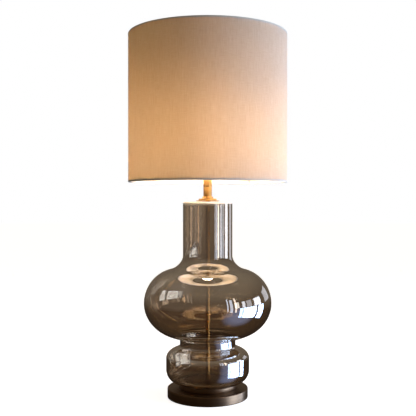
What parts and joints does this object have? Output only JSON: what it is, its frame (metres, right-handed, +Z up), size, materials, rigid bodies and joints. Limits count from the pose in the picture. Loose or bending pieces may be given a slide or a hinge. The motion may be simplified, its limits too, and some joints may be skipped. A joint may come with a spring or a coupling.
{
  "type": "table lamp",
  "caption": "Table lamp: a smoked glass gourd on a round brass foot, a slim brass stem and a straight linen drum shade on a tilting gimbal.",
  "frame": {"origin": "centre of the underside, on the surface the lamp stands on", "axes": "+Z up along the stem, -Y towards the front, +X to the front's right; the cord inlet is at +Y"},
  "size_m": [0.3558, 0.3558, 0.813],
  "materials": {
    "brown_felt": "pressed wool felt",
    "antique_brass": "brushed and darkened, clear lacquered",
    "cast_iron": "as cast",
    "black_plastic": "moulded phenolic, satin",
    "zinc_steel": "zinc plated",
    "pale_rubber": "soft, translucent",
    "smoked_glass": "blown, smoke brown with a mirror-like lustre",
    "polished_brass": "polished and lacquered",
    "white_wire": "white powder coat",
    "white_liner": "smooth laminate film",
    "natural_linen": "slubbed plain weave, unbleached",
    "opal_glass": "frosted white, lit warm"
  },
  "bodies": {
    "stand": {"felt_pad": "brown_felt", "base_shell": "antique_brass", "glass_seat": "antique_brass", "base_weight": "cast_iron", "inlet_bushing": "black_plastic", "terminal_block": "black_plastic", "insulating_sleeve": "black_plastic", "base_washer": "zinc_steel", "base_nut": "zinc_steel", "holder_lock_nut": "zinc_steel", "lower_gasket": "pale_rubber", "upper_gasket": "pale_rubber", "glass_body": "smoked_glass", "cap_plate": "polished_brass", "cap_ring": "polished_brass", "cap_collar": "polished_brass", "threaded_rod": "polished_brass", "stem_tube": "polished_brass", "stem_coupler": "polished_brass", "coupler_screw": "polished_brass", "holder_cap": "polished_brass", "holder_skirt": "polished_brass", "screw_shell": "polished_brass", "centre_contact": "polished_brass", "terminal_screw_1": "polished_brass", "terminal_screw_2": "polished_brass"},
    "switch": {"switch_bar": "black_plastic"},
    "bulb": {"bulb_tip": "zinc_steel", "bulb_insulator": "black_plastic", "bulb_cap": "zinc_steel", "bulb_globe": "opal_glass"},
    "clamp": {"clamp_ring": "black_plastic"},
    "gimbal": {"gimbal_inner_ring": "white_wire", "gimbal_pin_back": "zinc_steel", "gimbal_pin_front": "zinc_steel"},
    "shade": {"gimbal_outer_ring": "white_wire", "carrier_arm_1": "white_wire", "carrier_arm_2": "white_wire", "carrier_arm_3": "white_wire", "shade_bottom_ring": "white_wire", "shade_top_ring": "white_wire", "shade_liner": "white_liner", "shade_fabric": "natural_linen", "bottom_hem": "natural_linen", "top_hem": "natural_linen"}
  },
  "joints": [
    {"name": "switch_push", "type": "slide", "parent": "stand", "child": "switch", "axis": [1, 0, 0], "range_m": [-0.006, 0]},
    {"name": "bulb_turn", "type": "hinge", "parent": "stand", "child": "bulb", "pos_m": [0, 0, 0.53], "axis": [0, 0, 1], "continuous": true},
    {"name": "clamp_turn", "type": "hinge", "parent": "stand", "child": "clamp", "pos_m": [0, 0, 0.535], "axis": [0, 0, 1], "continuous": true},
    {"name": "shade_swivel", "type": "hinge", "parent": "stand", "child": "gimbal", "pos_m": [0, 0, 0.5302], "axis": [0, 0, 1], "continuous": true},
    {"name": "shade_tilt", "type": "hinge", "parent": "gimbal", "child": "shade", "pos_m": [0, 0, 0.5302], "axis": [0, 1, 0], "range_deg": [-10, 10]}
  ]
}
